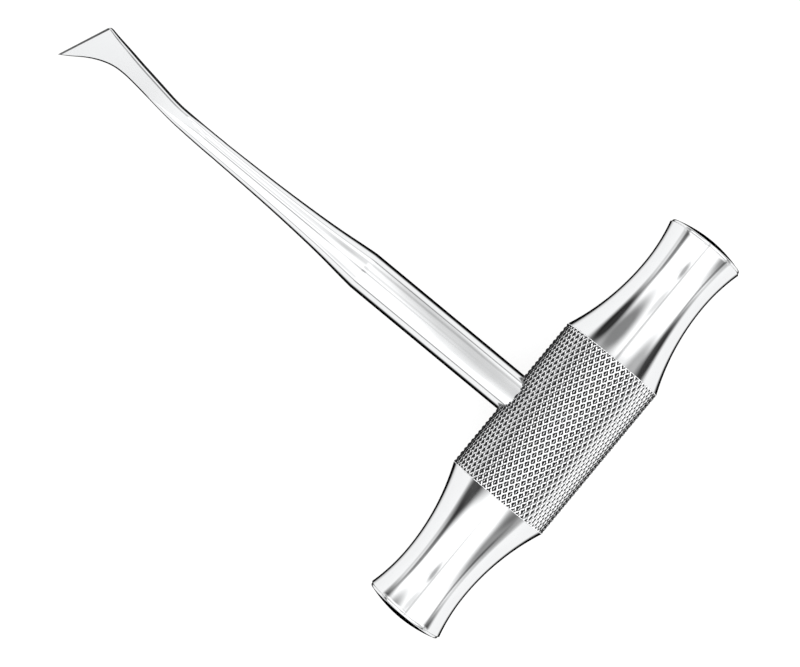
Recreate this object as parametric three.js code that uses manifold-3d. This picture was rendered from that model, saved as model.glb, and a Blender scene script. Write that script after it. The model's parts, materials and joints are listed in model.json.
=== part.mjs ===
// A cross-bar dental elevator in stainless steel, in millimetres, +Z up.
// It lies on a table on its knurled grip and on the back of its blade, and the origin is on the
// table at the middle of its footprint. +X runs along the handle and +Y from the handle to the blade.
//
// Every piece is drawn in the instrument's own axes first: X is the handle's axis, Y is the shank's
// axis, Z points out of the blade's ground face, and the two axes cross at zero. The instrument group
// then tips the whole tool until its blade touches the table.

import * as THREE from "three";
import { mergeVertices } from "three/addons/utils/BufferGeometryUtils.js";
import Module from "manifold-3d";

const wasm = await Module();
wasm.setup();

// Fits: the play between two pieces that touch.
const PLAY = 0.05;

// Knurled grip: a thick tube with a cross hole for the shank.
const GRIP_R = 10.5;
const GRIP_HALF = 16.4;
const GRIP_CHAMFER = 0.3;
const BORE_R = 6;

// Flared ends: two arcs that meet at the waist, measured from the middle of the handle.
const WAIST_X = 34;
const WAIST_R = 6.83;
const INNER_FLARE_R = 45;
const OUTER_FLARE_R = 34.5;
const RIM_X = 42.75;
const RIM_ROUND = 0.2;
const SPIGOT_START = 11;
const SPIGOT_BORE_R = 4.5;
const WAIST_BORE_R = 5.2;
const MOUTH_DEPTH = 1.6;

// End caps: thin domes with a lip that locates in the mouth of the flared end.
const CAP_R = 7.75;
const DOME_R = 24;
const HANDLE_HALF = 44.66;
const CAP_LIP = 1.5;
const LIP_BORE_R = 4.8;

// Braze rings in a counterbore at each end of the grip.
const BRAZE_WIDTH = 0.95;
const BRAZE_THICK = 0.5;

// Shank, from the shoulder on the core block out to the neck: radius against distance.
const SHANK_R = 3.94;
const SHOULDER_Y = 5;
const TAPER = [
  [45.4, SHANK_R],
  [49.1, 3.57],
  [53.5, 3.11],
  [59.4, 2.68],
  [66.7, 2.3],
  [74, 2.06],
  [80, 1.91],
];
const TAPER_STEPS = 12;

// Tang, core block and the pin that locks them.
const TANG_R = 2.95;
const TANG_END_Y = -5.2;
const BLOCK_HALF = 10.9;
const SEAT_Y = 4.4;
const PIN_R = 1;
const PIN_HALF = 5.5;

// Blade stations from the neck to the cutting edge. In plan each one is a line from the belly, which
// ends at the tip, to the spine, which ends at the heel. The face is ground flat later: back is how
// far the arched back lies below the side edges, crown is how far the front rises above them before
// grinding, and the drops say how far each side edge lies below the ground face.
// [bellyY, bellyX, spineY, spineX, back, crown, bellyDrop, spineDrop]
const BLADE = [
  [80, -1.91, 80, 1.95, 1.91, 1.91, 2, 2],
  [86, -1.76, 86, 1.93, 1.88, 1.85, 1.7, 1.75],
  [91.5, -1.41, 91.5, 2.16, 1.78, 1.6, 1.1, 1.4],
  [96, -0.91, 96, 2.82, 1.66, 1.35, 0.4, 1.05],
  [100.4, -0.45, 100.4, 3.46, 1.5, 1.3, 0, 0.85],
  [102.8, -0.36, 103.3, 3.92, 1.35, 1.25, 0, 0.7],
  [105.4, -0.7, 105.9, 4.3, 1.15, 1.2, 0, 0.55],
  [108.8, -2.1, 107.9, 4.62, 0.85, 1, 0, 0.4],
  [111.6, -3.95, 109.1, 4.78, 0.55, 0.7, 0, 0.25],
  [113.7, -5.27, 109.6, 4.4, 0.25, 0.4, 0, 0.1],
];
const BLADE_STEPS = 27;
const FACE_START_Y = 83;
const FACE_START_Z = 1.9;
const FACE_SLOPE = 0.045;
// The sharp belly edge stands this far proud of the face, so that grinding leaves it crisp.
const GRINDING_ALLOWANCE = 0.03;

// Facets round each turned piece and round the forging.
const TURNED_SIDES = 48;
const SMALL_SIDES = 24;
const FORGED_SIDES = 36;

const polished = { color: 0xd9dbdd, metalness: 1, roughness: 0.1 };
const knurled = { color: 0xc9ccce, metalness: 1, roughness: 0.25 };
const machined = { color: 0xb4b7ba, metalness: 1, roughness: 0.4 };
const filler = { color: 0xcfc7ad, metalness: 1, roughness: 0.35 };

// A closed geometry as a solid that can be cut and joined.
function solidFrom(geometry) {
  const bare = geometry.index ? geometry.toNonIndexed() : geometry.clone();
  bare.deleteAttribute("normal");
  bare.deleteAttribute("uv");
  const merged = mergeVertices(bare, 1e-4);
  return new wasm.Manifold(
    new wasm.Mesh({
      numProp: 3,
      vertProperties: merged.attributes.position.array,
      triVerts: new Uint32Array(merged.index.array),
    }),
  );
}

function geometryFrom(solid) {
  const mesh = solid.getMesh();
  const geometry = new THREE.BufferGeometry();
  geometry.setAttribute("position", new THREE.BufferAttribute(mesh.vertProperties, 3));
  geometry.setIndex(new THREE.BufferAttribute(mesh.triVerts, 1));
  return geometry;
}

// A finished piece: one named mesh with a material of its own.
function piece(name, geometry, look) {
  const flat = geometry.index ? geometry.toNonIndexed() : geometry;
  flat.computeVertexNormals();
  const mesh = new THREE.Mesh(flat, new THREE.MeshStandardMaterial(look));
  mesh.name = name;
  return mesh;
}

// Turned about the handle's axis. The profile holds [x, radius] points, with the steel on its left
// as it runs.
function turnedAboutX(profile, sides = TURNED_SIDES) {
  const points = profile.map(([x, radius]) => new THREE.Vector2(radius, x));
  return new THREE.LatheGeometry(points, sides).rotateZ(-Math.PI / 2);
}

// Turned about the shank's axis, from [y, radius] points.
function turnedAboutY(profile, sides = SMALL_SIDES) {
  const points = profile.map(([y, radius]) => new THREE.Vector2(radius, y));
  return new THREE.LatheGeometry(points, sides);
}

// The closed profile of a tube or washer.
function tubeProfile(start, end, innerR, outerR) {
  return [
    [start, innerR],
    [start, outerR],
    [end, outerR],
    [end, innerR],
    [start, innerR],
  ];
}

function rodProfile(start, end, radius) {
  return [
    [start, 0],
    [start, radius],
    [end, radius],
    [end, 0],
  ];
}

// A cross pin or its hole, along Z through the middle of the tang.
function crossRod(halfLength, radius) {
  return turnedAboutY(rodProfile(-halfLength, halfLength, radius), SMALL_SIDES).rotateX(Math.PI / 2);
}

// Radius of the flared end's outside at a distance from the middle of the handle.
function flareRadius(x) {
  const arcR = x < WAIST_X ? INNER_FLARE_R : OUTER_FLARE_R;
  return WAIST_R + arcR - Math.sqrt(arcR ** 2 - (x - WAIST_X) ** 2);
}

function gripBarrel() {
  const mouthR = BORE_R + BRAZE_WIDTH + 2 * PLAY;
  const mouthX = GRIP_HALF - BRAZE_THICK - 2 * PLAY;
  const profile = [
    [-mouthX, BORE_R],
    [-mouthX, mouthR],
    [-GRIP_HALF, mouthR],
    [-GRIP_HALF, GRIP_R - GRIP_CHAMFER],
    [GRIP_CHAMFER - GRIP_HALF, GRIP_R],
    [GRIP_HALF - GRIP_CHAMFER, GRIP_R],
    [GRIP_HALF, GRIP_R - GRIP_CHAMFER],
    [GRIP_HALF, mouthR],
    [mouthX, mouthR],
    [mouthX, BORE_R],
    [-mouthX, BORE_R],
  ];
  const hole = turnedAboutY(rodProfile(0, 2 * GRIP_R, SHANK_R + PLAY), FORGED_SIDES);
  const drilled = solidFrom(turnedAboutX(profile)).subtract(solidFrom(hole));
  return geometryFrom(drilled);
}

// The right-hand flared end: a spigot inside the grip, a shoulder against it, a hollow trumpet.
function flaredEnd() {
  const shoulderX = GRIP_HALF + PLAY;
  const arcSteps = 9;
  const rimSteps = 5;
  const inner = Array.from({ length: arcSteps + 1 }, (_, i) => {
    return THREE.MathUtils.lerp(shoulderX, WAIST_X, i / arcSteps);
  });
  const outer = Array.from({ length: rimSteps }, (_, i) => {
    return THREE.MathUtils.lerp(WAIST_X, RIM_X, (i + 1) / rimSteps);
  });
  const outside = [...inner, ...outer].map((x) => [x, flareRadius(x)]);
  const rimR = flareRadius(RIM_X);
  const mouthX = RIM_X + RIM_ROUND;
  const spigotR = BORE_R - PLAY;
  return turnedAboutX([
    [SPIGOT_START, SPIGOT_BORE_R],
    [SPIGOT_START, spigotR],
    [shoulderX, spigotR],
    ...outside,
    [mouthX, rimR - RIM_ROUND],
    [mouthX, BORE_R + PLAY],
    [mouthX - MOUTH_DEPTH, BORE_R + PLAY],
    [WAIST_X, WAIST_BORE_R],
    [SPIGOT_START, SPIGOT_BORE_R],
  ]);
}

// The right-hand end cap: a shallow dome whose lip stands in the mouth of the flared end.
function endCap() {
  const seatX = RIM_X + RIM_ROUND + PLAY;
  const edgeAngle = Math.asin(CAP_R / DOME_R);
  const domeSteps = 6;
  const dome = Array.from({ length: domeSteps + 1 }, (_, i) => {
    const angle = edgeAngle * (1 - i / domeSteps);
    return [HANDLE_HALF - DOME_R * (1 - Math.cos(angle)), DOME_R * Math.sin(angle)];
  });
  dome[domeSteps] = [HANDLE_HALF, 0];
  return turnedAboutX([
    [seatX, 0],
    [seatX, LIP_BORE_R],
    [seatX - CAP_LIP, LIP_BORE_R],
    [seatX - CAP_LIP, BORE_R],
    [seatX, BORE_R],
    [seatX, CAP_R],
    ...dome,
  ]);
}

function brazeRing() {
  const innerR = BORE_R;
  return turnedAboutX(
    tubeProfile(GRIP_HALF - PLAY - BRAZE_THICK, GRIP_HALF - PLAY, innerR, innerR + BRAZE_WIDTH),
  );
}

// The core block fills the grip between the spigots. It is bored for the tang, seated for the
// shank's shoulder and cross-drilled for the pin.
function coreBlock() {
  const bar = solidFrom(turnedAboutX(rodProfile(-BLOCK_HALF, BLOCK_HALF, BORE_R - PLAY)));
  const tangHole = turnedAboutY(rodProfile(-2 * BORE_R, 2 * BORE_R, TANG_R + PLAY), FORGED_SIDES);
  const seat = turnedAboutY(rodProfile(SEAT_Y, 2 * BORE_R, SHANK_R + PLAY), FORGED_SIDES);
  const pinHole = crossRod(2 * BORE_R, PIN_R + PLAY);
  const cut = [tangHole, seat, pinHole].reduce((rest, tool) => rest.subtract(solidFrom(tool)), bar);
  return geometryFrom(cut);
}

function tangBrazeRing() {
  const bottom = SEAT_Y + PLAY;
  const top = SHOULDER_Y - PLAY;
  return turnedAboutY(tubeProfile(bottom, top, TANG_R + PLAY, SHANK_R - PLAY), FORGED_SIDES);
}

// The smooth value at u, from 0 to 1, of a list of evenly spaced values.
function smoothAt(values, u) {
  const knots = values.map((value, i) => new THREE.Vector2(i, value));
  return new THREE.SplineCurve(knots).getPoint(u).y;
}

// Height of the ground face over the shank's axis.
function faceHeight(y) {
  return FACE_START_Z - FACE_SLOPE * (y - FACE_START_Y);
}

// One ring of points round the forging at a round station.
function roundRing(y, radius) {
  return Array.from({ length: FORGED_SIDES }, (_, i) => {
    const angle = (2 * Math.PI * i) / FORGED_SIDES;
    return new THREE.Vector3(radius * Math.cos(angle), y, radius * Math.sin(angle));
  });
}

// One ring round the blade, on the line from belly to spine at u, before the face is ground flat.
function bladeRing(u) {
  const [bellyY, bellyX, spineY, spineX, back, crown, bellyDrop, spineDrop] = BLADE[0].map(
    (_, column) => smoothAt(BLADE.map((station) => station[column]), u),
  );
  const bellyZ = faceHeight(bellyY) - bellyDrop + GRINDING_ALLOWANCE;
  const belly = new THREE.Vector3(bellyX, bellyY, bellyZ);
  const spine = new THREE.Vector3(spineX, spineY, faceHeight(spineY) - spineDrop);
  return Array.from({ length: FORGED_SIDES }, (_, i) => {
    const angle = (2 * Math.PI * i) / FORGED_SIDES;
    const point = belly.clone().lerp(spine, (1 + Math.cos(angle)) / 2);
    point.z += Math.sin(angle) * (Math.sin(angle) > 0 ? crown : back);
    return point;
  });
}

// A closed skin over a list of rings that all have the same number of points.
function skin(rings) {
  const count = rings[0].length;
  const positions = rings.flat().flatMap((p) => [p.x, p.y, p.z]);
  const faces = [];
  for (let ring = 0; ring + 1 < rings.length; ring += 1) {
    for (let i = 0; i < count; i += 1) {
      const a = ring * count + i;
      const b = ring * count + ((i + 1) % count);
      faces.push(a, a + count, b, b, a + count, b + count);
    }
  }
  const last = (rings.length - 1) * count;
  for (let i = 1; i + 1 < count; i += 1) {
    faces.push(0, i, i + 1);
    faces.push(last, last + i + 1, last + i);
  }
  const geometry = new THREE.BufferGeometry();
  geometry.setAttribute("position", new THREE.Float32BufferAttribute(positions, 3));
  geometry.setIndex(faces);
  return geometry;
}

// Everything above the ground face of the blade, as a wedge to cut away.
function grindingWedge() {
  const length = 80;
  const height = 20;
  const width = 40;
  const wedge = new THREE.BoxGeometry(width, length, height);
  wedge.translate(0, length / 2, height / 2);
  wedge.rotateX(-Math.atan(FACE_SLOPE));
  wedge.translate(0, FACE_START_Y - length / 4, faceHeight(FACE_START_Y - length / 4));
  return wedge;
}

// Tang, shank, neck and blade are one forging.
function bladeAndShank() {
  const neckRings = Array.from({ length: TAPER_STEPS }, (_, i) => {
    const u = i / TAPER_STEPS;
    const y = smoothAt(TAPER.map((station) => station[0]), u);
    return roundRing(y, smoothAt(TAPER.map((station) => station[1]), u));
  });
  const bladeRings = Array.from({ length: BLADE_STEPS + 1 }, (_, i) => bladeRing(i / BLADE_STEPS));
  const forged = solidFrom(skin([roundRing(SHOULDER_Y, SHANK_R), ...neckRings, ...bladeRings]));
  const tang = turnedAboutY(rodProfile(TANG_END_Y, SHOULDER_Y + 1, TANG_R), FORGED_SIDES);
  const ground = forged.subtract(solidFrom(grindingWedge()));
  const whole = ground.add(solidFrom(tang)).subtract(solidFrom(crossRod(2 * TANG_R, PIN_R + PLAY)));
  return geometryFrom(whole);
}

// The angle by which the tool tips forward, about the grip, before the blade meets the table.
function restingTilt(geometry) {
  const position = geometry.attributes.position;
  let tilt = Math.PI / 2;
  for (let i = 0; i < position.count; i += 1) {
    const y = position.getY(i);
    const z = position.getZ(i);
    if (y > GRIP_R) {
      tilt = Math.min(tilt, Math.asin(GRIP_R / Math.hypot(y, z)) + Math.atan2(z, y));
    }
  }
  return tilt;
}

const forging = bladeAndShank();
const instrument = new THREE.Group();
instrument.add(piece("blade_and_shank", forging, polished));
instrument.add(piece("grip_barrel", gripBarrel(), knurled));
instrument.add(piece("core_block", coreBlock(), machined));
instrument.add(piece("tang_pin", crossRod(PIN_HALF, PIN_R), machined));
instrument.add(piece("tang_braze_ring", tangBrazeRing(), filler));

// The left-hand pieces are the right-hand ones turned half a turn about the shank.
for (const [side, turn] of [["right", 0], ["left", Math.PI]]) {
  const end = new THREE.Group();
  end.add(piece(side + "_flared_end", flaredEnd(), polished));
  end.add(piece(side + "_end_cap", endCap(), polished));
  end.add(piece(side + "_braze_ring", brazeRing(), filler));
  end.rotation.y = turn;
  instrument.add(end);
}

instrument.rotation.x = -restingTilt(forging);
const elevator = new THREE.Group();
elevator.add(instrument);

// The origin goes to the middle of the footprint, on the table.
elevator.updateMatrixWorld(true);
const bounds = new THREE.Box3().setFromObject(elevator, true);
const middle = bounds.getCenter(new THREE.Vector3());
instrument.position.set(-middle.x, -middle.y, -bounds.min.z);

export default elevator;
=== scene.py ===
"""The looks of a cross-bar dental elevator in polished stainless steel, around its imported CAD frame.

Every visible piece is rebuilt finely in the instrument's own axes (x along the handle, y along the
shank, z out of the blade's ground face) and carried to its place in the frame by one matrix.
"""

import json
import math
from collections import namedtuple

import bmesh
import bpy
import numpy as np
from mathutils import Matrix, Vector

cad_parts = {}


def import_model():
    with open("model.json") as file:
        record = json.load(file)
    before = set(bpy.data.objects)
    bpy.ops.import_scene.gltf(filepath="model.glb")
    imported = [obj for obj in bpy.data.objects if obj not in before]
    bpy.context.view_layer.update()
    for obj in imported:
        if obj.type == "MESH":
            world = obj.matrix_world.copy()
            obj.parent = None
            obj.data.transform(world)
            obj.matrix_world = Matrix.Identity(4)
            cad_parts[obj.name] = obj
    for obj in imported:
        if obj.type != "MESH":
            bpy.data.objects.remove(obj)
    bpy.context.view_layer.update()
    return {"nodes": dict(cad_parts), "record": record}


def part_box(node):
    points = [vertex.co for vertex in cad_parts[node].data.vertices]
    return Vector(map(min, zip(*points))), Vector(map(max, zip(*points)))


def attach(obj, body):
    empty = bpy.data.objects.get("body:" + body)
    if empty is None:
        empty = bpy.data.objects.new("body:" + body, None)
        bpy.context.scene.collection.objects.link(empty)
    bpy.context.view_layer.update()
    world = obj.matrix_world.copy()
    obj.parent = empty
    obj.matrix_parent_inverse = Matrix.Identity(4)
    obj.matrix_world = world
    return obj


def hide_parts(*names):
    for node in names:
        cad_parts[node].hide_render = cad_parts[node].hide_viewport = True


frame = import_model()

MM = 0.001

# Handle, in millimetres from its middle.
GRIP_R = 10.5
GRIP_HALF = 16.4
GRIP_CHAMFER = 0.1
BORE_R = 6.0
WAIST_X = 34.0
WAIST_R = 6.83
INNER_FLARE_R = 45.0
OUTER_FLARE_R = 34.5
RIM_X = 42.75
RIM_ROUND = 0.2
# Where the rim's rounding leaves the flare, in radians from straight outwards.
RIM_ROUND_START = 0.1
SPIGOT_START = 11.0
SPIGOT_BORE_R = 4.5
WAIST_BORE_R = 5.2
MOUTH_DEPTH = 1.6
CAP_R = 7.75
CAP_EDGE_ROUND = 0.3
DOME_R = 24.0
HANDLE_HALF = 44.66
CAP_LIP = 1.5
LIP_BORE_R = 4.8
BRAZE_WIDTH = 0.95
BRAZE_THICK = 0.5
PLAY = 0.02

# Diamond knurl: starts round the grip each way, and the angle of its lines to the axis.
KNURL_STARTS = 56
KNURL_ANGLE = math.radians(30.0)
# Power that blends the two sets of grooves where they cross.
KNURL_BLEND = 2.5
# Half the section of one diamond: way out from its middle (1 is the groove's), and slope to there.
KNURL_SECTION = [(0.08, 0.0), (0.42, 35.0), (0.75, 47.0), (1.0, 4.0)]
KNURL_STEPS = 2 * len(KNURL_SECTION) - 1
# Taken off the crests when the grip was trued.
CREST_TRIM = 0.03

# Shank and tang. The tang runs a little way into the shank.
SHANK_R = 3.94
SHOULDER_Y = 5.0
PLAIN_SHANK_Y = (10.0, 44.6)
TANG_R = 2.95
TANG_END_Y = -5.2
TANG_OVERLAP = 1.0
# Distance along the shank, and radius there, down to the neck.
TAPER = [
    (45.4, SHANK_R),
    (49.1, 3.57),
    (53.5, 3.11),
    (59.4, 2.68),
    (66.7, 2.3),
    (74.0, 2.06),
    (80.0, 1.91),
]
# Blade stations from neck to cutting edge.
BLADE = [
    # belly y, x, bevel size; spine y, x, bevel size; depth of the back
    (80.0, -1.91, 1.0, 80.0, 1.95, 1.0, 1.91),
    (83.0, -1.86, 1.0, 83.0, 1.915, 1.0, 1.87),
    (88.0, -1.67, 1.0, 88.0, 1.96, 1.0, 1.75),
    (91.5, -1.41, 1.0, 91.5, 2.16, 1.0, 1.6),
    (96.0, -0.91, 1.0, 96.0, 2.82, 1.05, 1.2),
    (100.4, -0.45, 1.0, 100.4, 3.46, 1.03, 0.68),
    (102.8, -0.36, 1.0, 103.3, 3.92, 0.98, 0.34),
    (105.4, -0.7, 0.95, 105.9, 4.3, 0.85, 0.17),
    (108.8, -2.1, 0.85, 107.9, 4.62, 0.69, 0.11),
    (111.6, -3.95, 0.6, 109.1, 4.78, 0.55, 0.1),
    (113.7, -5.27, 0.4, 109.6, 4.4, 0.42, 0.08),
]
# Bevels from the ground face outwards: width and slope of each facet.
SPINE_BEVEL = [(0.3, 40.0), (0.2, 48.0), (0.44, 63.5)]
BELLY_BEVEL = [(0.05, 50.0), (0.25, 66.0)]
# Where the round neck starts to turn into the bevels, and where it has.
SPINE_BEVEL_Y = (83.0, 88.5)
BELLY_BEVEL_Y = (83.0, 98.0)
HONE_WIDTH = 0.38
HONE_SLOPE = math.radians(32.0)
FACE_START_Y = 83.0
FACE_START_Z = 1.9
FACE_SLOPE = 0.045
# Cosine past which a facet counts as part of the ground face.
FLAT_WITHIN = 0.99999

# How finely round and curved shapes are divided.
TURNED_SIDES = 256
FLARE_POINTS = 72
DOME_POINTS = 40
RIM_STEPS = 6
CAP_EDGE_STEPS = 5
PLAIN_RINGS = 20
TAPER_RINGS = 60
RINGS_PER_STATION = 14
BEVEL_STEPS = 28
BACK_STEPS = 64
# Kept from each quarter round of the neck, so that the two don't meet in one point.
ROUND_GAP = 0.005


# ---------------------------------------------------------------- the instrument's place

def instrument_matrix():
    """Carries millimetres in the instrument's axes to metres in the frame."""
    face = next(m for m in frame["record"]["mounts"] if m["name"] == "blade_face")
    lean = math.atan2(face["axis"][1], face["axis"][2]) - math.atan(FACE_SLOPE)
    low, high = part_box("grip_barrel")
    middle = (Vector(low) + Vector(high)) / 2
    return Matrix.Translation(middle) @ Matrix.Rotation(-lean, 4, "X") @ Matrix.Scale(MM, 4)


INSTRUMENT = instrument_matrix()


# ---------------------------------------------------------------- meshes

def make_object(name, vertices, faces):
    mesh = bpy.data.meshes.new(name)
    mesh.from_pydata([tuple(v) for v in vertices], [], faces)
    mesh.update()
    thing = bpy.data.objects.new(name, mesh)
    bpy.context.scene.collection.objects.link(thing)
    return thing


def turned(name, profile, sides=TURNED_SIDES, axis="X"):
    """A turned piece from (along, radius) points. The profile ends on the axis or closes on itself."""
    closed = profile[0] == profile[-1]
    rows = profile[:-1] if closed else profile
    angles = np.arange(sides) * 2 * math.pi / sides
    vertices = []
    first = []
    for along, radius in rows:
        first.append(len(vertices))
        count = 1 if radius == 0 else sides
        for angle in angles[:count]:
            u, v = radius * math.cos(angle), radius * math.sin(angle)
            vertices.append((along, u, v) if axis == "X" else (v, along, u))
    faces = []
    pairs = list(zip(range(len(rows)), range(1, len(rows))))
    if closed:
        pairs.append((len(rows) - 1, 0))
    for a, b in pairs:
        for i in range(sides):
            j = (i + 1) % sides
            if rows[a][1] == 0:
                faces.append((first[a], first[b] + j, first[b] + i))
            elif rows[b][1] == 0:
                faces.append((first[a] + i, first[a] + j, first[b]))
            else:
                faces.append((first[a] + i, first[a] + j, first[b] + j, first[b] + i))
    return make_object(name, vertices, faces)


def arc(cx, cr, radius, start, end, steps):
    """Points (along, radius) on an arc, its angles in radians from the outward direction."""
    return [
        (cx + radius * math.sin(a), cr + radius * math.cos(a))
        for a in np.linspace(start, end, steps + 1)
    ]


def rod(start, end, radius):
    return [(start, 0), (start, radius), (end, radius), (end, 0)]


def smooth_curve(values):
    """A natural cubic spline through evenly spaced rows of values, as a function of u from 0 to 1."""
    rows = np.array(values, dtype=float)
    count = len(rows)
    system = np.eye(count)
    right = np.zeros_like(rows)
    for i in range(1, count - 1):
        system[i, i - 1 : i + 2] = (1, 4, 1)
        right[i] = 6 * (rows[i - 1] - 2 * rows[i] + rows[i + 1])
    bend = np.linalg.solve(system, right)

    def at(u):
        place = u * (count - 1)
        i = min(int(place), count - 2)
        t = place - i
        s = 1 - t
        return (
            s * rows[i]
            + t * rows[i + 1]
            + ((s**3 - s) * bend[i] + (t**3 - t) * bend[i + 1]) / 6
        )

    return at


def skin(name, rings):
    """A closed surface over rings of points that all have the same count."""
    count = len(rings[0])
    vertices = [p for ring in rings for p in ring]
    faces = []
    for k in range(len(rings) - 1):
        for i in range(count):
            a, b = k * count + i, k * count + (i + 1) % count
            faces.append((a, a + count, b + count, b))
    last = (len(rings) - 1) * count
    faces.append(tuple(range(count)))
    faces.append(tuple(range(last + count - 1, last - 1, -1)))
    return make_object(name, vertices, faces)


def boolean(target, tool, operation):
    """Cuts or joins target with tool, applies it, and removes the tool."""
    step = target.modifiers.new("cut", "BOOLEAN")
    step.operation = operation
    step.solver = "MANIFOLD"
    step.object = tool
    graph = bpy.context.evaluated_depsgraph_get()
    result = bpy.data.meshes.new_from_object(target.evaluated_get(graph))
    target.modifiers.clear()
    old = target.data
    target.data = result
    bpy.data.meshes.remove(old)
    bpy.data.objects.remove(tool)


def crisp_border(thing, facing):
    """Keeps a crisp edge all round the faces that face one way."""
    mesh = bmesh.new()
    mesh.from_mesh(thing.data)
    mesh.normal_update()
    for edge in mesh.edges:
        flat = [face.normal.dot(facing) > FLAT_WITHIN for face in edge.link_faces]
        if len(set(flat)) > 1:
            edge.smooth = False
    mesh.to_mesh(thing.data)
    mesh.free()


def finish_piece(thing, node, material, sharp=30.0, flat=None):
    """Smooth shading with crisp edges, a material, and the piece's place in the frame."""
    thing.data.shade_smooth()
    thing.data.set_sharp_from_angle(angle=math.radians(sharp))
    if flat:
        crisp_border(thing, flat)
    thing.data.materials.clear()
    thing.data.materials.append(material)
    thing.data.transform(INSTRUMENT)
    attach(thing, "root")
    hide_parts(node)


# ---------------------------------------------------------------- materials

# Colours of bare steel, of the blade's ground face, of the knurl's bright parts (steel painted lighter
# than bare steel, painted light) and of the painted shade on its flanks.
STEEL = (0.63, 0.635, 0.64)
GROUND_STEEL = (0.535, 0.54, 0.545)
PAINTED_LIGHT_STEEL = (0.78, 0.785, 0.79)
PAINTED_FLANK_SHADE = (0.018, 0.018, 0.019)
# Degrees that the knurl leans from the grip's round where the painted shade on its flanks starts, and
# where it is darkest.
PAINTED_SHADE_LEAN = (12.0, 28.0)
# Across the grip, in shares of its radius: where painted light lifts the flanks' painted shade most, on
# the side away from the shank, and where that ends.
PAINTED_LIGHT_SIDE = (-0.75, -0.3)
PAINTED_LIGHT_LIFT = 0.16
# Where the ground face starts to look dull along the blade, and where it fully does.
DULL_FACE_Y = (86.0, 98.0)
# A facet within this angle of the instrument's plane belongs to the ground face.
FACE_LEAN = math.radians(6.0)


def add(tree, kind, inputs=None, **settings):
    """A shader node. Its inputs are given by name or number, each a value or another node's output."""
    made = tree.nodes.new(kind)
    for name, value in settings.items():
        setattr(made, name, value)
    for key, value in (inputs or {}).items():
        if isinstance(value, bpy.types.NodeSocket):
            tree.links.new(value, made.inputs[key])
        else:
            made.inputs[key].default_value = value
    return made


def metal(name, roughness):
    """A metal of about this roughness. Returns the material, its node tree and its shader's inputs."""
    material = bpy.data.materials.new(name)
    material.use_nodes = True
    inputs = material.node_tree.nodes["Principled BSDF"].inputs
    inputs["Metallic"].default_value = 1.0
    inputs["Roughness"].default_value = roughness
    return material, material.node_tree, inputs


def place_in_mm(tree):
    """A place in millimetres along the instrument's axes."""
    location, rotation, _ = INSTRUMENT.decompose()
    coords = add(tree, "ShaderNodeTexCoord")
    return add(tree, "ShaderNodeMapping", {
        "Vector": coords.outputs["Object"],
        "Location": location,
        "Rotation": rotation.to_euler(),
        "Scale": (MM, MM, MM),
    }, vector_type="TEXTURE").outputs[0]


def level(tree, direction):
    """A direction of the frame, along the instrument's axes."""
    turn = (-INSTRUMENT.to_euler().x, 0, 0)
    return add(tree, "ShaderNodeMapping", {"Vector": direction, "Rotation": turn}).outputs[0]


def normal(tree):
    return level(tree, add(tree, "ShaderNodeNewGeometry").outputs["Normal"])


def noise(tree, place, stretch, detail=3.0, distortion=0.0):
    """Noise from 0 to 1 with so many lumps to the millimetre along each axis."""
    spread = add(tree, "ShaderNodeMapping", {"Vector": place, "Scale": stretch})
    return add(tree, "ShaderNodeTexNoise", {
        "Vector": spread.outputs[0],
        "Scale": 1.0,
        "Detail": detail,
        "Distortion": distortion,
    }).outputs["Fac"]


def between(tree, value, start, end, low, high):
    """Eases from low to high as value runs from start to end."""
    return add(tree, "ShaderNodeMapRange", {
        "Value": value,
        "From Min": start,
        "From Max": end,
        "To Min": low,
        "To Max": high,
    }, interpolation_type="SMOOTHSTEP").outputs[0]


def math_node(tree, operation, *values):
    return add(tree, "ShaderNodeMath", dict(enumerate(values)), operation=operation).outputs[0]


def blend(tree, factor, first, second):
    """A colour that runs from first to second. Each is three numbers or another node's output."""
    ends = [end if isinstance(end, bpy.types.NodeSocket) else (*end, 1) for end in (first, second)]
    mix = add(tree, "ShaderNodeMix", data_type="RGBA")
    tree.links.new(factor, mix.inputs["Factor"])
    for name, end in zip("AB", ends):
        socket = next(i for i in mix.inputs if i.name == name and i.type == "RGBA")
        if isinstance(end, bpy.types.NodeSocket):
            tree.links.new(end, socket)
        else:
            socket.default_value = end
    return next(o for o in mix.outputs if o.type == "RGBA")


def scaled(colour, share):
    return tuple(part * share for part in colour)


def ripple(tree, inputs, height, microns):
    """A bump of so many microns from the lowest to the highest of a height from 0 to 1."""
    bump = add(tree, "ShaderNodeBump", {
        "Height": height,
        "Strength": 1.0,
        "Distance": microns * 1e-6,
    })
    tree.links.new(bump.outputs[0], inputs["Normal"])


def polished_handle():
    """Mirror steel, turned round the handle: faint rings, with buffing smudges over them."""
    material, tree, inputs = metal("polished_handle", 0.07)
    place = place_in_mm(tree)
    smudges = noise(tree, place, (0.22, 0.3, 0.3), detail=4.0, distortion=0.6)
    rings = noise(tree, place, (7.0, 0.05, 0.05), detail=2.0)
    tone = blend(tree, smudges, scaled(STEEL, 0.97), scaled(STEEL, 1.03))
    tree.links.new(tone, inputs["Base Color"])
    tree.links.new(between(tree, smudges, 0.3, 0.7, 0.045, 0.1), inputs["Roughness"])
    ripple(tree, inputs, rings, 0.35)
    return material


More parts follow.
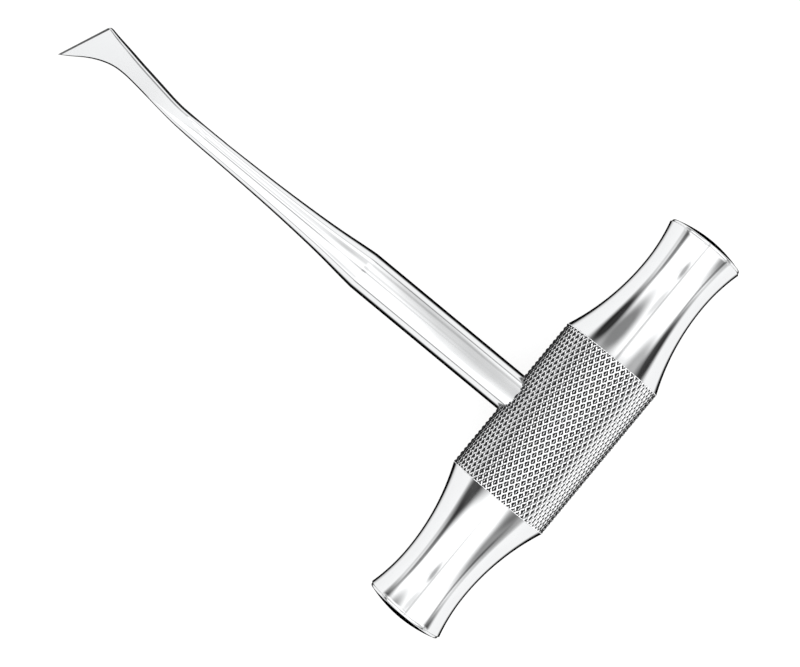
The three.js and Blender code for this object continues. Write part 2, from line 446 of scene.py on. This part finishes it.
def ground_blade():
    """Polished shank steel with hairlines along it, and a duller ground face on the blade."""
    material, tree, inputs = metal("polished_blade", 0.07)
    place = place_in_mm(tree)
    smudges = noise(tree, place, (0.3, 0.12, 0.3), detail=4.0, distortion=0.4)
    hairlines = noise(tree, place, (9.0, 0.22, 9.0), detail=3.0)
    along = add(tree, "ShaderNodeSeparateXYZ", {0: place}).outputs["Y"]
    upright = add(tree, "ShaderNodeSeparateXYZ", {0: normal(tree)}).outputs["Z"]
    past_neck = between(tree, along, *DULL_FACE_Y, 0.0, 1.0)
    flat = math_node(tree, "GREATER_THAN", upright, math.cos(FACE_LEAN))
    ground = math_node(tree, "MULTIPLY", past_neck, flat)
    bright = blend(tree, smudges, scaled(STEEL, 0.97), scaled(STEEL, 1.03))
    satin = blend(tree, smudges, scaled(GROUND_STEEL, 0.96), scaled(GROUND_STEEL, 1.04))
    tree.links.new(blend(tree, ground, bright, satin), inputs["Base Color"])
    shine = between(tree, smudges, 0.3, 0.7, 0.045, 0.09)
    dulled = math_node(tree, "MULTIPLY_ADD", ground, 0.08, shine)
    tree.links.new(dulled, inputs["Roughness"])
    ripple(tree, inputs, hairlines, 0.25)
    return material


def knurl_steel():
    """Crests, grooves and end chamfers painted lighter than bare steel, with painted shade on the flanks
    between them.

    On the side of the grip away from the shank, painted light lifts the flanks near the crests out of that
    shade too.
    """
    material, tree, inputs = metal("knurled_steel", 0.12)
    place = place_in_mm(tree)
    radial = add(tree, "ShaderNodeVectorMath", {0: place, 1: (0, 1, 1)}, operation="MULTIPLY")
    outward = add(tree, "ShaderNodeVectorMath", {0: radial.outputs[0]}, operation="NORMALIZE")
    facing = add(
        tree, "ShaderNodeVectorMath", {0: outward.outputs[0], 1: normal(tree)}, operation="DOT_PRODUCT")
    around = add(tree, "ShaderNodeSeparateXYZ", {0: outward.outputs[0]}).outputs["Y"]
    # Painted light: on the side away from the shank, the flanks are lifted out of their painted shade.
    side_light_lift = between(tree, around, *PAINTED_LIGHT_SIDE, PAINTED_LIGHT_LIFT, 0.0)
    levelled = math_node(tree, "ADD", facing.outputs["Value"], side_light_lift)
    start, end = (math.cos(math.radians(lean)) for lean in PAINTED_SHADE_LEAN)
    steepness = between(tree, levelled, start, end, 0.0, 1.0)
    along = add(tree, "ShaderNodeSeparateXYZ", {0: place}).outputs["X"]
    before_chamfer = math_node(
        tree, "LESS_THAN", math_node(tree, "ABSOLUTE", along), GRIP_HALF - GRIP_CHAMFER)
    # Painted shade: flanks that lean past these angles are coloured near black, as if they lay in shade.
    painted_shade_mask = math_node(tree, "MULTIPLY", steepness, before_chamfer)
    grime = noise(tree, place, (0.9, 0.9, 0.9), detail=4.0)
    painted_flank_shade = blend(tree, grime, scaled(PAINTED_FLANK_SHADE, 0.7), scaled(PAINTED_FLANK_SHADE, 1.3))
    # Painted light: crests, grooves and chamfers are steel painted lighter than the bare steel elsewhere.
    bright = blend(tree, grime, scaled(PAINTED_LIGHT_STEEL, 0.94), scaled(PAINTED_LIGHT_STEEL, 1.06))
    tree.links.new(blend(tree, painted_shade_mask, bright, painted_flank_shade), inputs["Base Color"])
    tree.links.new(between(tree, grime, 0.3, 0.7, 0.09, 0.16), inputs["Roughness"])
    return material


def machined_steel():
    """As it left the lathe: fine tool rings and an uneven dull sheen."""
    material, tree, inputs = metal("machined_steel", 0.35)
    place = place_in_mm(tree)
    patches = noise(tree, place, (0.5, 0.5, 0.5), detail=4.0)
    rings = noise(tree, place, (0.1, 12.0, 0.1), detail=2.0)
    tree.links.new(blend(tree, patches, scaled(STEEL, 0.85), STEEL), inputs["Base Color"])
    tree.links.new(between(tree, patches, 0.3, 0.7, 0.28, 0.42), inputs["Roughness"])
    ripple(tree, inputs, rings, 3.0)
    return material


def silver_braze():
    """Flowed brazing alloy: warm, uneven, with a faint skin of lumps."""
    material, tree, inputs = metal("silver_braze", 0.3)
    place = place_in_mm(tree)
    flow = noise(tree, place, (1.6, 1.6, 1.6), detail=5.0, distortion=1.0)
    tree.links.new(blend(tree, flow, (0.68, 0.6, 0.44), (0.84, 0.79, 0.68)), inputs["Base Color"])
    tree.links.new(between(tree, flow, 0.3, 0.7, 0.2, 0.4), inputs["Roughness"])
    ripple(tree, inputs, flow, 20.0)
    return material


polished = polished_handle()
ground_steel = ground_blade()
knurled = knurl_steel()
machined = machined_steel()
braze = silver_braze()


# ---------------------------------------------------------------- handle

def flare_radius(x):
    arc_r = INNER_FLARE_R if x < WAIST_X else OUTER_FLARE_R
    return WAIST_R + arc_r - math.sqrt(arc_r**2 - (x - WAIST_X) ** 2)


def diamond_section(groove_pitch):
    """Places across a diamond, from 0 to 1, and how far the surface has dropped at each."""
    half = [(0.0, 0.0)]
    for out, slope in KNURL_SECTION:
        run = (out - half[-1][0]) * groove_pitch / 2
        half.append((out, half[-1][1] + run * math.tan(math.radians(slope))))
    half = half[1:]
    across = [0.5 - out / 2 for out, _ in reversed(half)] + [0.5 + out / 2 for out, _ in half]
    drop = [fall for _, fall in reversed(half)] + [fall for _, fall in half]
    return across, drop


def close_ends(rod_object, end_x):
    """Closes both open ends of a rod with faces that meet on the axis."""
    mesh = bmesh.new()
    mesh.from_mesh(rod_object.data)
    hubs = {side: mesh.verts.new((side * end_x, 0, 0)) for side in (-1, 1)}
    for edge in [edge for edge in mesh.edges if edge.is_boundary]:
        mesh.faces.new((*edge.verts, hubs[1 if edge.verts[0].co.x > 0 else -1]))
    bmesh.ops.recalc_face_normals(mesh, faces=mesh.faces)
    mesh.to_mesh(rod_object.data)
    mesh.free()


def knurled_rod():
    """A rod covered in rounded diamonds between two crossing sets of helical V grooves.

    u and v count the grooves of the two sets, so each diamond is one unit square of the (u, v) plane.
    """
    pitch = 2 * math.pi * GRIP_R / KNURL_STARTS
    step_x = pitch / 2 / math.tan(KNURL_ANGLE)
    across, drop = diamond_section(pitch * math.cos(KNURL_ANGLE))
    rows = math.ceil(GRIP_HALF / step_x) + 1
    around = 2 * KNURL_STARTS * KNURL_STEPS
    vertices = []
    index = {}

    def vertex(a, b, i, j):
        key = ((a + b) * KNURL_STEPS + i + j, ((a - b) * KNURL_STEPS + i - j) % around)
        if key not in index:
            u, v = a + across[i], b + across[j]
            depth = (drop[i] ** KNURL_BLEND + drop[j] ** KNURL_BLEND) ** (1 / KNURL_BLEND)
            angle = (u - v) * math.pi / KNURL_STARTS
            radius = GRIP_R - depth
            index[key] = len(vertices)
            vertices.append(((u + v) * step_x, radius * math.cos(angle), radius * math.sin(angle)))
        return index[key]

    faces = []
    steps = range(KNURL_STEPS)
    for row in range(-rows, rows + 1):
        for start in range(KNURL_STARTS):
            a, b = row + start, -start
            for i in steps:
                for j in steps:
                    faces.append((
                        vertex(a, b, i, j),
                        vertex(a, b, i + 1, j),
                        vertex(a, b, i + 1, j + 1),
                        vertex(a, b, i, j + 1),
                    ))
    rod_object = make_object("grip", vertices, faces)
    close_ends(rod_object, (rows + 2) * step_x)
    return rod_object


def grip():
    mouth_r = BORE_R + BRAZE_WIDTH + 2 * PLAY
    mouth_x = GRIP_HALF - BRAZE_THICK - 2 * PLAY
    shell = turned("shell", [
        (-mouth_x, BORE_R),
        (-mouth_x, mouth_r),
        (-GRIP_HALF, mouth_r),
        (-GRIP_HALF, GRIP_R - GRIP_CHAMFER),
        (GRIP_CHAMFER - GRIP_HALF, GRIP_R - CREST_TRIM),
        (GRIP_HALF - GRIP_CHAMFER, GRIP_R - CREST_TRIM),
        (GRIP_HALF, GRIP_R - GRIP_CHAMFER),
        (GRIP_HALF, mouth_r),
        (mouth_x, mouth_r),
        (mouth_x, BORE_R),
        (-mouth_x, BORE_R),
    ])
    body = knurled_rod()
    boolean(body, shell, "INTERSECT")
    boolean(body, turned("hole", rod(0.0, 2 * GRIP_R, SHANK_R + PLAY), axis="Y"), "DIFFERENCE")
    finish_piece(body, "grip_barrel", knurled)


def flared_end(side):
    shoulder_x = GRIP_HALF + PLAY
    outside = [(x, flare_radius(x)) for x in np.linspace(shoulder_x, RIM_X, FLARE_POINTS)]
    rim_r = flare_radius(RIM_X)
    mouth_x = RIM_X + RIM_ROUND
    spigot_r = BORE_R - PLAY
    profile = [
        (SPIGOT_START, SPIGOT_BORE_R),
        (SPIGOT_START, spigot_r),
        (shoulder_x, spigot_r),
        *outside,
        *arc(RIM_X, rim_r - RIM_ROUND, RIM_ROUND, RIM_ROUND_START, math.pi / 2, RIM_STEPS),
        (mouth_x, BORE_R + PLAY),
        (mouth_x - MOUTH_DEPTH, BORE_R + PLAY),
        (WAIST_X, WAIST_BORE_R),
        (SPIGOT_START, SPIGOT_BORE_R),
    ]
    return turned(side + "_trumpet", profile)


def end_cap(side):
    seat_x = RIM_X + RIM_ROUND + PLAY
    edge_angle = math.asin((CAP_R - CAP_EDGE_ROUND) / DOME_R)
    dome = [
        (HANDLE_HALF - DOME_R * (1 - math.cos(a)), DOME_R * math.sin(a))
        for a in np.linspace(edge_angle, 0, DOME_POINTS)
    ]
    dome[-1] = (HANDLE_HALF, 0)
    edge_x = dome[0][0] - CAP_EDGE_ROUND
    edge_r = CAP_R - CAP_EDGE_ROUND
    profile = [
        (seat_x, 0),
        (seat_x, LIP_BORE_R),
        (seat_x - CAP_LIP, LIP_BORE_R),
        (seat_x - CAP_LIP, BORE_R),
        (seat_x, BORE_R),
        (seat_x, CAP_R),
        *arc(edge_x, edge_r, CAP_EDGE_ROUND, 0.0, math.pi / 2 - edge_angle, CAP_EDGE_STEPS),
        *dome[1:],
    ]
    return turned(side + "_dome", profile)


def handle_ends():
    for side, sign in (("right", 1), ("left", -1)):
        for thing, node in ((flared_end(side), "_flared_end"), (end_cap(side), "_end_cap")):
            if sign < 0:
                thing.data.transform(Matrix.Rotation(math.pi, 4, "Y"))
            finish_piece(thing, side + node, polished)


# ---------------------------------------------------------------- shank and blade

def top_height(y):
    """The ground face, or the top of the neck before it starts."""
    return FACE_START_Z - FACE_SLOPE * max(y - FACE_START_Y, 0.0)


def bevel(facets, size, round_radius, share):
    """(inset, height) from the widest point up to the face: share 0 is a quarter round, 1 the facets."""
    corners = [(0.0, 0.0)]
    for width, slope in facets:
        inset, height = corners[-1]
        corners.append((inset + width, height - width * math.tan(math.radians(slope))))
    total = corners[-1][0]
    corners = [(size * (total - inset), size * height) for inset, height in reversed(corners)]
    steps = np.linspace(0, 1, BEVEL_STEPS)
    insets = steps * corners[-1][0]
    heights = np.interp(insets, *zip(*corners))
    turn = steps * math.pi / 2
    round_insets = round_radius * (1 - np.cos(turn))
    round_heights = round_radius * (np.sin(turn) - 1)
    return list(zip(
        round_insets + (insets - round_insets) * share,
        round_heights + (heights - round_heights) * share,
    ))


def eased(y, start, end):
    t = min(max((y - start) / (end - start), 0.0), 1.0)
    return t * t * (3 - 2 * t)


def section(station):
    """A ring round the forging: up the belly's bevel, over the face, down the spine's, and the back."""
    belly_y, belly_x, belly_size, spine_y, spine_x, spine_size, back = station
    belly = Vector((belly_x, belly_y))
    spine = Vector((spine_x, spine_y))
    width = (spine - belly).length
    quarter = min(width / 2, SHANK_R) - ROUND_GAP
    left = bevel(BELLY_BEVEL, belly_size, quarter, eased(belly_y, *BELLY_BEVEL_Y))
    right = bevel(SPINE_BEVEL, spine_size, quarter, eased(spine_y, *SPINE_BEVEL_Y))
    left_depth, right_depth = -left[0][1], -right[0][1]
    outline = left + [(width - inset, height) for inset, height in reversed(right)]
    for t in np.linspace(0, math.pi, BACK_STEPS + 2)[1:-1]:
        place = (1 + math.cos(t)) / 2
        widest = left_depth + (right_depth - left_depth) * place
        outline.append((width * place, -widest - back * math.sin(t)))
    ring = []
    for inset, height in outline:
        x, y = belly.lerp(spine, inset / width)
        ring.append((x, y, top_height(y) + height))
    return ring


def round_section(y, radius):
    ring = section((y, -radius, 1.0, y, radius, 1.0, radius))
    return [(x, y, z - top_height(y) + radius) for x, y, z in ring]


def hone_wedge():
    """Everything above the honed bevel along the cutting edge.

    It reaches out on both sides of the bevel, and past both ends of the edge by a margin.
    """
    tip_y, tip_x = BLADE[-1][:2]
    heel_y, heel_x = BLADE[-1][3:5]
    along = Vector((heel_x - tip_x, heel_y - tip_y, 0)).normalized()
    outward = Vector((-along.y, along.x, 0))
    start = Vector((tip_x, tip_y, top_height(tip_y)))
    end = Vector((heel_x, heel_y, top_height(heel_y)))
    reach, margin = 2.0, 1.0
    low = []
    for corner, overrun in ((start, -margin), (end, margin)):
        for out in (-HONE_WIDTH - reach, reach):
            point = corner + along * overrun + outward * out
            point.z -= (out + HONE_WIDTH) * math.tan(HONE_SLOPE)
            low.append(point)
    low = [low[0], low[2], low[3], low[1]]
    high = [point + Vector((0, 0, 2 * reach)) for point in low]
    faces = [(3, 2, 1, 0), (4, 5, 6, 7)]
    faces += [(i, (i + 1) % 4, (i + 1) % 4 + 4, i + 4) for i in range(4)]
    return make_object("hone", low + high, faces)


def outward_faces(thing):
    mesh = bmesh.new()
    mesh.from_mesh(thing.data)
    bmesh.ops.recalc_face_normals(mesh, faces=mesh.faces)
    mesh.to_mesh(thing.data)
    mesh.free()


def blade_and_shank():
    taper = smooth_curve(TAPER)
    blade = smooth_curve(BLADE)
    rings = [round_section(SHOULDER_Y, SHANK_R)]
    rings += [round_section(y, SHANK_R) for y in np.linspace(*PLAIN_SHANK_Y, PLAIN_RINGS)]
    rings += [round_section(*taper(u)) for u in np.linspace(0, 1, TAPER_RINGS)[:-1]]
    blade_rings = RINGS_PER_STATION * (len(BLADE) - 1) + 1
    rings += [section(blade(u)) for u in np.linspace(0, 1, blade_rings)]
    body = skin("forging", rings)
    outward_faces(body)
    hone = hone_wedge()
    outward_faces(hone)
    boolean(body, hone, "DIFFERENCE")
    tang = turned("tang", rod(TANG_END_Y, SHOULDER_Y + TANG_OVERLAP, TANG_R), axis="Y")
    boolean(body, tang, "UNION")
    face = Vector((0, FACE_SLOPE, 1)).normalized()
    finish_piece(body, "blade_and_shank", ground_steel, sharp=9.0, flat=face)


# ---------------------------------------------------------------- stage

# Camera: its place in the instrument's millimetres, its lens, and the handle's slope in the picture.
CAMERA_PLACE = (-4.67, 32.93, 439.2)
CAMERA_LENS = 108.0
HANDLE_SLOPE = math.radians(50.38)
# Floor and backdrop, in metres. The floor lies just under the instrument.
FLOOR_HALF = 4.0
FLOOR_DROP = 0.0002
BACKDROP_R = 3.9
# How far the backdrop goes on below the horizon, in radians.
BACKDROP_SKIRT = 0.01


def camera():
    """Face on to the plane of handle and shank, with the handle's right end up and to the right."""
    data = bpy.data.cameras.new("camera")
    data.sensor_width = 36.0
    data.lens = CAMERA_LENS
    data.clip_end = 20.0
    cam = bpy.data.objects.new("camera", data)
    bpy.context.scene.collection.objects.link(cam)
    right = Vector((math.cos(HANDLE_SLOPE), -math.sin(HANDLE_SLOPE), 0))
    up = Vector((math.sin(HANDLE_SLOPE), math.cos(HANDLE_SLOPE), 0))
    turn = Matrix((right, up, Vector((0, 0, 1)))).transposed().to_4x4()
    location, rotation, _ = (INSTRUMENT @ Matrix.Translation(CAMERA_PLACE) @ turn).decompose()
    cam.location = location
    cam.rotation_mode = "QUATERNION"
    cam.rotation_quaternion = rotation
    bpy.context.scene.camera = cam


def stage_material(name, colour, glow):
    material = bpy.data.materials.new(name)
    material.use_nodes = True
    shader = material.node_tree.nodes["Principled BSDF"]
    shader.inputs["Base Color"].default_value = (*colour, 1)
    shader.inputs["Roughness"].default_value = 1.0
    shader.inputs["Specular IOR Level"].default_value = 0.0
    shader.inputs["Emission Color"].default_value = (1, 1, 1, 1)
    shader.inputs["Emission Strength"].default_value = glow
    return material


def floor_and_backdrop():
    """A pale floor that lights up its own shadows, and a dome behind it. Reflections see the world."""
    corners = [(x * FLOOR_HALF, y * FLOOR_HALF, 0) for x, y in ((-1, -1), (1, -1), (1, 1), (-1, 1))]
    ground = make_object("floor", corners, [(0, 1, 2, 3)])
    ground.location.z = -FLOOR_DROP
    ground.data.materials.append(stage_material("floor", (0.2, 0.2, 0.2), 0.85))
    ground.visible_glossy = False
    rows = [
        (BACKDROP_R * math.sin(a), BACKDROP_R * math.cos(a))
        for a in np.linspace(math.pi / 2, -BACKDROP_SKIRT, 16)
    ]
    dome = turned("backdrop", [(BACKDROP_R, 0.0), *rows[1:]], sides=64, axis="Y")
    dome.rotation_euler.x = math.pi / 2
    dome.data.materials.append(stage_material("backdrop", (0.0, 0.0, 0.0), 1.0))
    dome.visible_glossy = False
    dome.visible_diffuse = False
    dome.visible_shadow = False


# Soft dark places in the tent round the instrument, in degrees: azimuth from the handle's right end
# towards the blade, angle from straight up, half width round, half width up and down. Depth is the
# share of the light that is lost. A gap is darkest out to the inner share of its width, has faded
# away at the outer share, and may be turned about its own middle.
Gap = namedtuple("Gap", "azimuth from_top wide high depth inner turn", defaults=(0.35, 0))
GAP_OUTER = 1.15
TENT_GAPS = [
    Gap(59, 74, 25, 16, 0.97),
    Gap(-60, 77, 28, 15, 0.95),
    Gap(131, 70, 30, 17, 0.93),
    Gap(-121, 65, 30, 20, 0.75),
    Gap(100, 68, 32, 8, 0.8),
    Gap(-98, 69, 32, 5, 0.65),
    Gap(42, 50, 24, 24, 0.8),
    Gap(-40, 62, 20, 18, 0.6),
    Gap(-143, 64, 17, 14, 0.5),
    Gap(150, 62, 20, 15, 0.45),
    Gap(-6, 53, 28, 9, 0.25),
    Gap(115, 8, 7, 9, 0.62),
    Gap(20, 18, 8, 10, 0.3),
    Gap(97, 18, 4, 4, 0.16),
    Gap(-4, 21, 2, 88, 0.27, 0.9, 5),
    Gap(-5, 32, 3, 88, 0.25, 0.6, 6),
    Gap(0, 80, 10, 4, 0.5),
    Gap(180, 80, 16, 4, 0.6),
    Gap(0, 160, 30, 45, 0.98, 0.8),
    Gap(180, 160, 30, 45, 0.98, 0.8),
    Gap(-90, 172, 60, 32, 0.98, 0.8),
]
TENT_BRIGHTNESS = 1.8
# Degrees from straight up, and the tent's brightness there, before the gaps.
TENT_RINGS = [
    (0, 1.0),
    (73, 1.0),
    (78, 0.6),
    (82, 0.6),
    (86, 0.82),
    (132, 0.76),
    (145, 0.5),
    (150, 0.12),
    (157, 0.02),
    (180, 0.02),
]


def ring_light(tree, direction):
    """The tent's brightness by the angle from straight up alone."""
    upright = add(tree, "ShaderNodeSeparateXYZ", {0: direction}).outputs["Z"]
    share = math_node(tree, "DIVIDE", math_node(tree, "ARCCOSINE", upright), math.pi)
    ramp = add(tree, "ShaderNodeValToRGB", {0: share})
    elements = ramp.color_ramp.elements
    elements.remove(elements[-1])
    for i, (degrees, value) in enumerate(TENT_RINGS):
        element = elements[0] if i == 0 else elements.new(degrees / 180)
        element.position = degrees / 180
        element.color = (value, value, value, 1)
    return ramp.outputs["Color"]


def gap_shade(tree, direction, gap):
    """The share of the light that is left in one gap: an ellipse on the sphere with soft edges."""
    azimuth, from_top, wide, high, turn = (
        math.radians(v) for v in (gap.azimuth, gap.from_top, gap.wide, gap.high, gap.turn))
    middle = (
        math.sin(from_top) * math.cos(azimuth),
        math.sin(from_top) * math.sin(azimuth),
        math.cos(from_top),
    )
    facing = Matrix.Rotation(azimuth, 3, "Z") @ Matrix.Rotation(from_top, 3, "Y")
    local = add(tree, "ShaderNodeMapping", {
        "Vector": direction,
        "Location": middle,
        "Rotation": (facing @ Matrix.Rotation(turn, 3, "Z")).to_euler(),
        "Scale": (math.sin(high), math.sin(wide), 1),
    }, vector_type="TEXTURE")
    reach = add(tree, "ShaderNodeVectorMath", {0: local.outputs[0]}, operation="LENGTH")
    return between(tree, reach.outputs["Value"], gap.inner, GAP_OUTER, 1 - gap.depth, 1.0)


def world():
    """A bright tent with soft dark gaps and a dark underside, level with the instrument."""
    tent = bpy.data.worlds.new("tent")
    bpy.context.scene.world = tent
    tent.use_nodes = True
    tree = tent.node_tree
    direction = level(tree, add(tree, "ShaderNodeTexCoord").outputs["Generated"])
    light = ring_light(tree, direction)
    for gap in TENT_GAPS:
        shade = gap_shade(tree, direction, gap)
        light = add(tree, "ShaderNodeVectorMath", {0: light, "Scale": shade}, operation="SCALE").outputs[0]
    background = tree.nodes["Background"]
    tree.links.new(light, background.inputs["Color"])
    background.inputs["Strength"].default_value = TENT_BRIGHTNESS


grip()
handle_ends()
blade_and_shank()
for node, material in (
    ("core_block", machined),
    ("tang_pin", machined),
    ("tang_braze_ring", braze),
    ("right_braze_ring", braze),
    ("left_braze_ring", braze),
):
    frame["nodes"][node].data.materials[0] = material

camera()
floor_and_backdrop()
world()
bpy.context.scene.view_settings.view_transform = "Standard"
